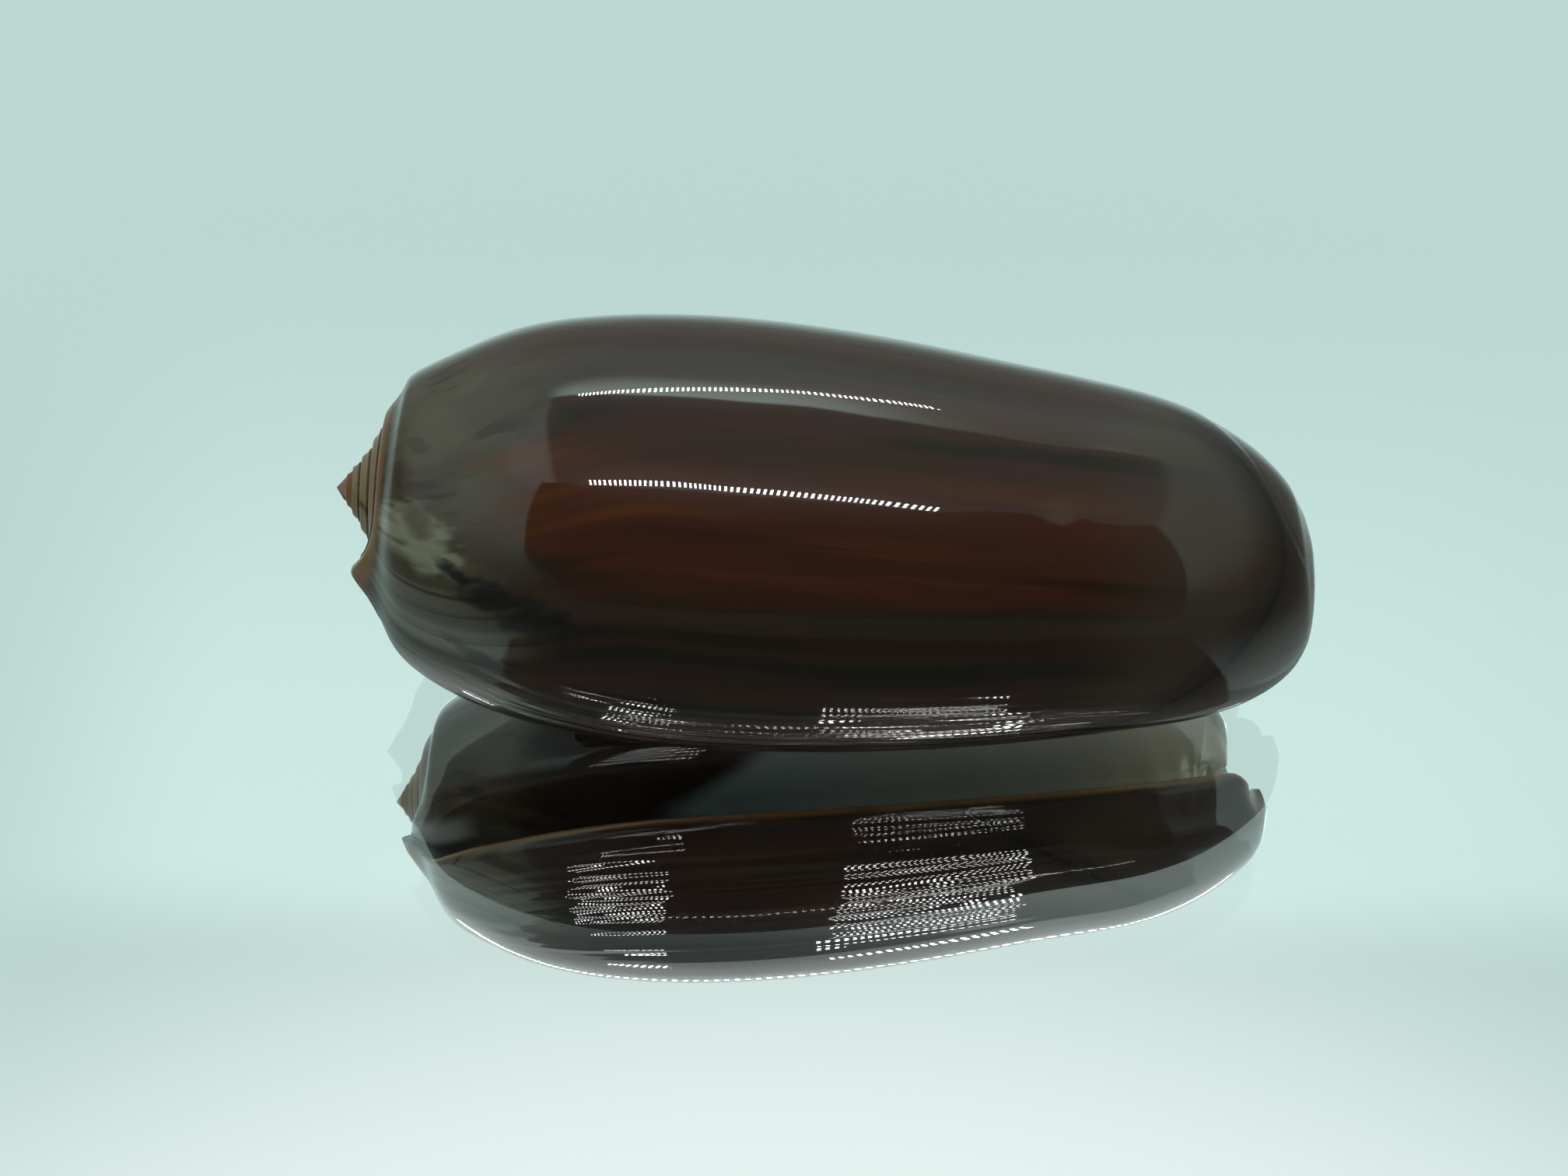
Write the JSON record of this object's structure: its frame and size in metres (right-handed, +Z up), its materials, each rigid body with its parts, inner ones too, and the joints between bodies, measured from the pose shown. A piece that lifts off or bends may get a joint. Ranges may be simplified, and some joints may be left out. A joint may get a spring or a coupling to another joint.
{
  "type": "olive shell",
  "caption": "Glossy dark brown olive shell with a short pointed spire, a long narrow mouth and a notched siphonal end.",
  "frame": {"origin": "centre of the bounding box at the ground, under the belly the shell rests on", "axes": "+X from the spire to the siphonal end, -Y on the side of the outer lip, +Z up through the back of the shell"},
  "size_m": [0.0418, 0.018, 0.017],
  "materials": {
    "shell": "naturally polished shell enamel, dark brown with fine lengthwise streaks, cream at the spire and columella"
  },
  "bodies": {
    "root": {"shell": "shell"}
  },
  "joints": []
}
